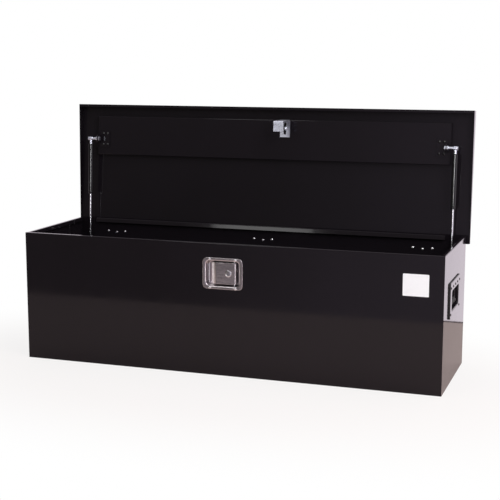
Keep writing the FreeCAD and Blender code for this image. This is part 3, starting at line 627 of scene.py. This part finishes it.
def blind_rivets(node, out, body, slot, head_first=True):
    """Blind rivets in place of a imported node's plain ones. Their heads face out.

    Where head_first is false, the plain ones have their tails there.
    """
    out = Vector(out)
    across = Vector((0, 0, 1))
    outer_height = RIVET_HEAD_HEIGHT if head_first else RIVET_TAIL_HEIGHT
    shape = bmesh.new()
    for low, high in solids(node):
        half = abs((high - low).dot(out)) / 2
        foot = (low + high) / 2 + out * (half - outer_height * MM)
        grip = half * 2 / MM - RIVET_HEAD_HEIGHT - RIVET_TAIL_HEIGHT
        add_to(shape, blind_rivet(grip), axes(foot, across, out.cross(across), out))
    put("blind_" + node, shape, Matrix(), body, slot, node)


def latch_plate():
    """The latch's bezel and dish, pressed from one sheet with soft shoulders."""
    low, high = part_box("latch_pan")
    size = ((high.x - low.x) / MM, (high.z - low.z) / MM)
    depth = (high.y - low.y) / MM - LATCH_SHEET
    dish_floor = narrowed(DISH_SIZE, DISH_DRAFT)
    shape = pressing([(size, BEZEL_CORNER, CENTRE, -LATCH_SHEET), (size, BEZEL_CORNER, CENTRE, 0.0),
                      (DISH_SIZE, DISH_CORNER, CENTRE, 0.0), (dish_floor, DISH_CORNER, CENTRE, -depth)],
                     (0.0, BEZEL_ROUND, DISH_SHOULDER, DISH_SHOULDER), LATCH_SHEET * PRESSED_SHARE)
    put("pressed_latch_pan", shape, axes(front("latch_pan"), *FACING_FRONT), "box", "stainless_steel",
        "latch_pan")


def bent_on(shape, ends, centre, angle):
    """Draws the end of a line on round an upright axis; returns its new end."""
    made = bmesh.ops.spin(shape, geom=ends, cent=centre, axis=(0, 0, 1), angle=angle, steps=BEND_STEPS)
    return made["geom_last"]


def paddle_sheet(low, high):
    """The paddle's sheet: rolled in at its right edge, flat, and past a knee curved in for the fingers."""
    tip_turn = PADDLE_KNEE_TURN + PADDLE_CURVE_TURN
    curve = PADDLE_CURVE * (math.sin(tip_turn) - math.sin(PADDLE_KNEE_TURN))
    knee = low.x + PADDLE_INSET + curve + PADDLE_KNEE * math.sin(PADDLE_KNEE_TURN)
    shape = bmesh.new()
    points = [shape.verts.new((x, low.y, low.z)) for x in (high.x - PADDLE_BEND, knee)]
    shape.edges.new(points)
    bent_on(shape, points[:1], points[0].co + Vector((0, PADDLE_BEND, 0)), math.pi / 2)
    past_knee = bent_on(shape, points[1:], points[1].co + Vector((0, PADDLE_KNEE, 0)), -PADDLE_KNEE_TURN)
    inwards = Vector((math.sin(PADDLE_KNEE_TURN), math.cos(PADDLE_KNEE_TURN), 0))
    bent_on(shape, past_knee, past_knee[0].co + PADDLE_CURVE * inwards, -PADDLE_CURVE_TURN)
    drawn_on(shape, shape.edges[:], (0, 0, high.z - low.z))
    bmesh.ops.recalc_face_normals(shape, faces=shape.faces)
    if min(shape.faces, key=lambda face: face.calc_center_median().y).normal.y > 0:
        bmesh.ops.reverse_faces(shape, faces=shape.faces)
    bmesh.ops.solidify(shape, geom=shape.faces[:], thickness=PADDLE_SHEET)
    rim = [side for side in shape.edges if side.calc_face_angle(0.0) > RIM_ANGLE]
    soften(shape, rim, PADDLE_EDGE, RIM_STEPS)
    return shape


def paddle_plate():
    """The paddle: its bent sheet, with cheeks for its pin and a lever for the bolt."""
    low, high = (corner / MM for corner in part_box("paddle"))
    pin = middle("paddle_pin") / MM
    bolt = middle("latch_bolt") / MM
    shape = paddle_sheet(low, high)
    back = low.y + PADDLE_SHEET / 2
    left = high.x - CHEEK_SIZE[0]
    right = high.x - PADDLE_SHEET / 2
    for z in (low.z, high.z - PADDLE_SHEET):
        far = Vector((right, low.y + CHEEK_SIZE[1], z + PADDLE_SHEET))
        block(shape, Vector((left, back, z)), far, PADDLE_EDGE)
    half = Vector((LEVER_SIZE[0] / 2, 0, LEVER_SIZE[1] / 2))
    block(shape, Vector((pin.x, back, bolt.z)) - half, Vector((pin.x, high.y, bolt.z)) + half, PADDLE_EDGE)
    hub = Vector((LEVER_HUB, LEVER_HUB, LEVER_SIZE[1] / 2))
    axle = Vector((pin.x, pin.y, bolt.z))
    block(shape, axle - hub, axle + hub, LEVER_HUB_ROUND)
    put("rolled_paddle", shape, Matrix.Scale(MM, 4), "paddle", "stainless_steel", "paddle")


def lock_sleeve():
    """The key lock's sleeve, fixed in the paddle, with a domed flange."""
    low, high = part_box("lock_sleeve")
    flange = (high.x - low.x) / 2 / MM
    length = (high.y - low.y) / MM
    profile = [(LOCK_BORE, -length), (LOCK_BORE, -LOCK_LIP), (LOCK_BORE + LOCK_LIP, 0.0)]
    profile += [(flange - inwards, -down) for inwards, down in LOCK_DOME]
    profile += [(flange, -LOCK_FLANGE), (LOCK_SLEEVE, -LOCK_FLANGE), (LOCK_SLEEVE, -length), profile[0]]
    put("flanged_lock_sleeve", turned(profile), axes(front("lock_sleeve"), *FACING_FRONT), "paddle",
        "chromed_lock", "lock_sleeve")


def lock_plug():
    """The key lock's plug: a face round its keyway, sunk in the sleeve, and the cam behind it."""
    face = front("lock_sleeve")
    sleeve_low, sleeve_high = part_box("lock_sleeve")
    length = (sleeve_high.y - sleeve_low.y) / MM
    low, high = (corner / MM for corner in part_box("lock_plug"))
    plug = bmesh.new()
    keyway = bmesh.ops.create_grid(plug, x_segments=1, y_segments=1, size=0.5)["verts"]
    bmesh.ops.scale(plug, vec=KEYWAY_SIZE + (1.0,), verts=keyway)
    bmesh.ops.delete(plug, geom=plug.faces[:], context="FACES_ONLY")
    ends_then_sides = sorted(plug.edges, key=lambda edge: edge.calc_length())
    bmesh.ops.subdivide_edges(plug, edges=ends_then_sides[2:], cuts=KEYWAY_SIDE_CUTS)
    bmesh.ops.subdivide_edges(plug, edges=ends_then_sides[:2], cuts=KEYWAY_END_CUTS)
    keyway_loop = plug.edges[:]
    radius = LOCK_BORE - PLUG_GAP
    bmesh.ops.create_circle(plug, segments=len(keyway_loop), radius=radius)
    rim_loop = [edge for edge in plug.edges if edge not in keyway_loop]
    bmesh.ops.bridge_loops(plug, edges=keyway_loop + rim_loop)
    for loop, drop in ((keyway_loop, KEYWAY_DEPTH), (rim_loop, length)):
        bmesh.ops.edgeloop_fill(plug, edges=drawn_on(plug, loop, (0, 0, -drop)))
    bmesh.ops.recalc_face_normals(plug, faces=plug.faces)
    soften(plug, rim_loop, LOCK_LIP, RIM_STEPS)
    bmesh.ops.translate(plug, vec=(0, 0, -PLUG_SUNK), verts=plug.verts)
    cam_tip = Vector((low.x - face.x / MM, -radius, face.y / MM - high.y))
    block(plug, cam_tip, Vector((radius, radius, -length + LOCK_LIP)), LOCK_LIP)
    put("keyed_lock_plug", plug, axes(face, *FACING_FRONT), "lock_plug", "chromed_lock", "lock_plug")


def bolt_spring():
    """The bolt's spring, fixed to the box. The real one shortens towards its fixed end as the bolt is drawn
    back.
    """
    shape = bmesh.new()
    shape.from_mesh(frame["nodes"]["bolt_spring"].data)
    bmesh.ops.remove_doubles(shape, verts=shape.verts, dist=SAME_PLACE)
    piece = put("wound_bolt_spring", shape, Matrix(), "box", "spring_wire", "bolt_spring")
    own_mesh(piece)


def handle_outline(hand, side):
    """A handle plate's width and height in millimetres, and the axes on the middle of its outer face."""
    low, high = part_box(hand + "_handle_plate")
    outer = high.x if side > 0 else low.x
    face = Vector((outer, (low.y + high.y) / 2, (low.z + high.z) / 2))
    size = ((high.y - low.y) / MM, (high.z - low.z) / MM)
    return size, axes(face, (0, side, 0), (0, 0, 1), (side, 0, 0))


def handle_plate(hand, side):
    """One end's handle plate, pressed with a deep pan."""
    size, place = handle_outline(hand, side)
    low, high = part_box(hand + "_handle_plate")
    depth = (high.x - low.x) / MM - HANDLE_SHEET
    face_size = narrowed(size, HANDLE_SLOPE)
    pan_floor = narrowed(PAN_SIZE, PAN_DRAFT)
    pan = (0.0, size[1] / 2 - PAN_DROP - PAN_SIZE[1] / 2)
    shape = pressing([(size, HANDLE_CORNER, CENTRE, -HANDLE_FLANGE), (face_size, HANDLE_CORNER, CENTRE, 0.0),
                      (PAN_SIZE, PAN_CORNER, pan, 0.0), (pan_floor, PAN_CORNER, pan, -depth)],
                     (0.0, HANDLE_ROUND, PAN_ROUND, PAN_ROUND), HANDLE_SHEET * PRESSED_SHARE)
    put("pressed_" + hand + "_handle_plate", shape, place, "box", "black_gloss_paint",
        hand + "_handle_plate")


def handle_dark_ring(hand, side):
    """A thin ring in the black rubber finish, between a handle plate's flange and the end panel: it draws the
    dark line along the plate's edge.
    """
    size, place = handle_outline(hand, side)
    proud = (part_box("right_handle_plate")[1].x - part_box("right_end_panel")[1].x) / MM
    dark_ring = bmesh.new()
    faces = [rounded_face(dark_ring, outline, HANDLE_CORNER, CENTRE, -HANDLE_FLANGE)
             for outline in (size, narrowed(size, DARK_RING_WIDTH))]
    loops = [line for face in faces for line in face.edges]
    bmesh.ops.delete(dark_ring, geom=faces, context="FACES_ONLY")
    bmesh.ops.bridge_loops(dark_ring, edges=loops)
    facing_out(dark_ring, dark_ring.faces[:][0])
    bmesh.ops.solidify(dark_ring, geom=dark_ring.faces[:], thickness=proud - HANDLE_FLANGE)
    put(hand + "_handle_edging", dark_ring, place, "box", "black_rubber")


def handle_grip(hand):
    """The ribbed grip on a handle's bail."""
    low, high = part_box(hand + "_handle_grip")
    length = (high.y - low.y) / MM
    radius = (high.z - low.z) / MM / 2
    pitch = length / GRIP_RIBS
    profile = [(GRIP_BORE, 0.0)]
    for rib in range(GRIP_RIBS):
        for along, down in GRIP_RIB_SHARES:
            profile.append((radius - down * GRIP_RIB_DEPTH, (rib + along) * pitch))
    profile += [(GRIP_BORE, length), (GRIP_BORE, 0.0)]
    put("ribbed_" + hand + "_grip", turned(profile), axes(front(hand + "_handle_grip"), *FACING_BACK),
        hand + "_handle", "black_rubber", hand + "_handle_grip")


def strut_line(hand):
    """The middles of a strut's two eyes, and the way from the upper one down to the lower one."""
    stud = middle(hand + "_strut_lid_stud")
    rod_low, rod_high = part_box(hand + "_strut_rod")
    x = (rod_low.x + rod_high.x) / 2
    top = Vector((x, stud.y, stud.z))
    foot = Vector((x, rod_low.y + STRUT_PACKED_EYE * MM, rod_low.z + STRUT_PACKED_EYE * MM))
    return top, foot, (foot - top).normalized()


def along_strut(origin, way):
    """Axes of a shape turned about a strut's line."""
    across = Vector((1, 0, 0))
    return axes(origin, across, way.cross(across), way)


def strut_eye():
    """An eye at a strut's end, turned about the stud that it sits on."""
    half = STRUT_EYE_WIDTH / 2
    inner = STRUT_EYE_RIM - STRUT_EYE_EDGE
    edge = half - STRUT_EYE_EDGE
    return turned([(STRUT_EYE_BORE, -half), (inner, -half), (STRUT_EYE_RIM, -edge), (STRUT_EYE_RIM, edge),
                   (inner, half), (STRUT_EYE_BORE, half), (STRUT_EYE_BORE, -half)])


def strut_end_fitting(hand):
    """The neck and eye at the top of a gas strut."""
    top, foot, line = strut_line(hand)
    shape = turned([(0.0, STRUT_ROOT), (STRUT_NECK, STRUT_ROOT), (STRUT_NECK, STRUT_NECK_LENGTH),
                    (0.0, STRUT_NECK_LENGTH)])
    bmesh.ops.transform(shape, matrix=along_strut(top, line), verts=shape.verts)
    add_to(shape, strut_eye(), axes(top, *FACING_RIGHT))
    put(hand + "_strut_end_fitting", shape, Matrix(), hand + "_barrel", "zinc_steel")


def strut_tube(hand):
    """A gas strut's tube, with rounded ends and the groove rolled in to hold the rod's gland."""
    top, foot, line = strut_line(hand)
    start = STRUT_NECK_LENGTH
    end = start + STRUT_TUBE_LENGTH
    groove = end - STRUT_GROOVE_FROM_END
    bore_end = start + 2 * STRUT_END_ROUND
    inner = STRUT_TUBE - STRUT_END_ROUND
    shares = [step / ROUND_STEPS for step in range(ROUND_STEPS + 1)]
    # A quarter circle that rounds the tube's upper end, and with its two sides swapped the lower end
    quarter = [(STRUT_END_ROUND * math.sin(math.pi / 2 * share),
                STRUT_END_ROUND * math.cos(math.pi / 2 * share)) for share in shares]
    profile = [(0.0, start)]
    profile += [(inner + out, start + STRUT_END_ROUND - up) for out, up in quarter]
    profile += [(STRUT_TUBE - STRUT_GROOVE_DEPTH * math.sin(math.pi * share),
                 groove + STRUT_GROOVE_WIDTH * (share - 0.5)) for share in shares]
    profile += [(inner + out, end - STRUT_END_ROUND + up) for up, out in quarter]
    profile += [(GLAND_MOUTH, end), (GLAND_SEAT, end - GLAND_DEPTH), (STRUT_BORE, end - GLAND_DEPTH),
                (STRUT_BORE, bore_end), (0.0, bore_end)]
    put("grooved_" + hand + "_strut_tube", turned(profile), along_strut(top, line), hand + "_barrel",
        "strut_paint", hand + "_strut_barrel")


def strut_rod(hand):
    """A gas strut's ground rod with the eye at its foot."""
    top, foot, line = strut_line(hand)
    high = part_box(hand + "_strut_rod")[1]
    lean = math.acos(-line.z)
    length = ((high.z - foot.z) / MM - STRUT_ROD * math.sin(lean)) / math.cos(lean)
    shape = turned([(0.0, STRUT_ROOT), (STRUT_ROD, STRUT_ROOT), (STRUT_ROD, length - STRUT_ROD_EDGE),
                    (STRUT_ROD - STRUT_ROD_EDGE, length), (0.0, length)])
    bmesh.ops.transform(shape, matrix=along_strut(foot, -line), verts=shape.verts)
    add_to(shape, strut_eye(), axes(foot, *FACING_RIGHT))
    put("ground_" + hand + "_strut_rod", shape, Matrix(), hand + "_rod", "chromed_rod", hand + "_strut_rod")


def floor_material():
    """Pale studio floor. The camera sees it nearly white, with the object's shadow kept near the box."""
    material, tree, shader = new_material("pale_studio_floor")
    shader.inputs["Roughness"].default_value = FLOOR_ROUGHNESS
    place = add(tree, "ShaderNodeTexCoord").outputs["Object"]
    joint_front = FLOOR_REAR_Y - JOINT_WIDTH
    joint = add(tree, "ShaderNodeMapRange",
                inputs={"Value": add(tree, "ShaderNodeSeparateXYZ", inputs={0: place}).outputs["Y"],
                        "From Min": joint_front, "From Max": joint_front + JOINT_BLUR})
    colour = add(tree, "ShaderNodeMix", {"data_type": "RGBA"},
                 {0: joint.outputs[0], 6: linear(FLOOR_COLOUR), 7: linear(JOINT_COLOUR)})
    tree.links.new(colour.outputs[2], shader.inputs["Base Color"])
    spread = add(tree, "ShaderNodeMapping", {"vector_type": "TEXTURE"},
                 {"Vector": place, "Location": (0.0, FLOOR_MIDDLE_Y, 0.0),
                  "Scale": (SHADOW_REACH, FLOOR_HALF_DEPTH, 1.0)})
    away = add(tree, "ShaderNodeVectorMath", {"operation": "LENGTH"}, {0: spread.outputs[0]})
    far = add(tree, "ShaderNodeMapRange", {"interpolation_type": "SMOOTHSTEP"},
              {"Value": away.outputs["Value"], "From Min": SHADOW_FADE[0], "From Max": SHADOW_FADE[1],
               "To Min": SHADOW_WHITE, "To Max": 1.0})
    path = add(tree, "ShaderNodeLightPath")
    seen = add(tree, "ShaderNodeMath", {"operation": "MAXIMUM"},
               {0: path.outputs["Is Camera Ray"], 1: path.outputs["Is Transmission Ray"]})
    share = add(tree, "ShaderNodeMath", {"operation": "MULTIPLY"}, {0: seen.outputs[0], 1: far.outputs[0]})
    white = add(tree, "ShaderNodeEmission", inputs={"Color": (1.0, 1.0, 1.0, 1.0), "Strength": 1.0})
    mix = add(tree, "ShaderNodeMixShader",
              inputs={0: share.outputs[0], 1: shader.outputs[0], 2: white.outputs[0]})
    tree.links.new(mix.outputs[0], tree.nodes["Material Output"].inputs["Surface"])
    return material


def floor():
    """The floor, just under the box."""
    shape = bmesh.new()
    bmesh.ops.create_grid(shape, x_segments=1, y_segments=1, size=1.0)
    bmesh.ops.scale(shape, vec=(FLOOR_HALF_WIDTH, FLOOR_HALF_DEPTH, 1.0), verts=shape.verts)
    place = (0.0, FLOOR_MIDDLE_Y, cad_box[0][2] - FLOOR_DROP)
    bmesh.ops.translate(shape, vec=place, verts=shape.verts)
    mesh = bpy.data.meshes.new("floor")
    shape.to_mesh(mesh)
    shape.free()
    mesh.materials.append(floor_material())
    new_object("floor", mesh)


def studio_world():
    """White to the camera and an even light to matt surfaces. Glossy ones mirror a room.

    It has a white backdrop behind the box, a dimmer front, darker on the left, and a plain ceiling.
    """
    world = bpy.data.worlds.new("studio")
    world.use_nodes = True
    bpy.context.scene.world = world
    tree = world.node_tree
    look = add(tree, "ShaderNodeTexCoord").outputs["Generated"]
    way = add(tree, "ShaderNodeSeparateXYZ", inputs={0: look})
    back = add(tree, "ShaderNodeVectorMath", {"operation": "DOT_PRODUCT"}, {0: look, 1: BACKDROP_SLANT})
    behind = add(tree, "ShaderNodeMapRange", {"interpolation_type": "SMOOTHSTEP"},
                 {"Value": back.outputs["Value"], "From Min": BACKDROP_FADE[0], "From Max": BACKDROP_FADE[1]})
    above = add(tree, "ShaderNodeMapRange", {"interpolation_type": "SMOOTHSTEP"},
                {"Value": way.outputs["Z"], "From Min": CEILING_FADE[0], "From Max": CEILING_FADE[1]})
    slant = add(tree, "ShaderNodeVectorMath", {"operation": "DOT_PRODUCT"}, {0: look, 1: ROOM_SLANT})
    right = add(tree, "ShaderNodeMapRange", {"interpolation_type": "SMOOTHSTEP"},
                {"Value": slant.outputs["Value"], "From Min": ROOM_FADE[0], "From Max": ROOM_FADE[1]})
    room = add(tree, "ShaderNodeMix", {"data_type": "RGBA"},
               {0: right.outputs[0], 6: ROOM_LEFT + (1.0,), 7: ROOM_RIGHT + (1.0,)})
    ceiling = add(tree, "ShaderNodeMix", {"data_type": "RGBA"},
                  {0: above.outputs[0], 6: room.outputs[2], 7: CEILING + (1.0,)})
    backed = add(tree, "ShaderNodeMix", {"data_type": "RGBA"},
                 {0: behind.outputs[0], 6: ceiling.outputs[2], 7: BACKDROP + (1.0,)})
    path = add(tree, "ShaderNodeLightPath")
    soft = add(tree, "ShaderNodeMix", {"data_type": "RGBA"},
               {0: path.outputs["Is Diffuse Ray"], 6: backed.outputs[2], 7: (AMBIENT,) * 3 + (1.0,)})
    seen = add(tree, "ShaderNodeMath", {"operation": "MAXIMUM"},
               {0: path.outputs["Is Camera Ray"], 1: path.outputs["Is Transmission Ray"]})
    white = add(tree, "ShaderNodeMix", {"data_type": "RGBA"},
                {0: seen.outputs[0], 6: soft.outputs[2], 7: (1.0, 1.0, 1.0, 1.0)})
    tree.links.new(white.outputs[2], tree.nodes["Background"].inputs["Color"])


def softbox(name, place, target, size, radiance):
    """A rectangular soft light of a stated brightness, facing target."""
    light = bpy.data.lights.new(name, "AREA")
    light.shape = "RECTANGLE"
    light.size, light.size_y = size
    light.energy = radiance * math.pi * size[0] * size[1]
    lamp = new_object(name, light)
    lamp.location = place
    lamp.rotation_euler = (Vector(target) - Vector(place)).to_track_quat("-Z", "Y").to_euler()
    return lamp


def keep_to_struts(lamp):
    """Keeps a lamp's light to the gas struts: the lid and the front would mirror it in other views."""
    struts = bpy.data.collections.new("gas_struts")
    for piece in bpy.data.objects:
        if any(part in piece.name for part in STRUT_PIECES):
            struts.objects.link(piece)
    lamp.light_linking.receiver_collection = struts


def camera():
    """The camera, at the picture's viewing angle."""
    lens = bpy.data.cameras.new("camera")
    lens.sensor_width = SENSOR_MM
    lens.lens = LENS_MM
    eye = new_object("camera", lens)
    turn = (Matrix.Rotation(CAMERA_YAW, 3, "Z") @ Matrix.Rotation(math.pi / 2 - CAMERA_PITCH, 3, "X")
            @ Matrix.Rotation(CAMERA_ROLL, 3, "Z"))
    eye.rotation_euler = turn.to_euler()
    eye.location = CAMERA_PLACE
    bpy.context.scene.camera = eye


finishes = {slot: make() for slot, make in FINISHES.items()}
dress_nodes()
latch_plate()
paddle_plate()
lock_sleeve()
lock_plug()
bolt_spring()
blind_rivets("latch_rivets", (0, -1, 0), "box", "bright_rivet")
blind_rivets("hinge_body_rivets", (0, -1, 0), "box", "bright_rivet", head_first=False)
for hand, side in (("left", -1), ("right", 1)):
    handle_plate(hand, side)
    handle_dark_ring(hand, side)
    handle_grip(hand)
    blind_rivets(hand + "_handle_rivets", (side, 0, 0), "box", "black_rivet")
    strut_end_fitting(hand)
    strut_tube(hand)
    strut_rod(hand)
floor()
studio_world()
lamps = {name: softbox(name, **lamp) for name, lamp in SOFTBOXES.items()}
keep_to_struts(lamps["strut_strip"])
camera()
bpy.context.scene.view_settings.view_transform = "Standard"
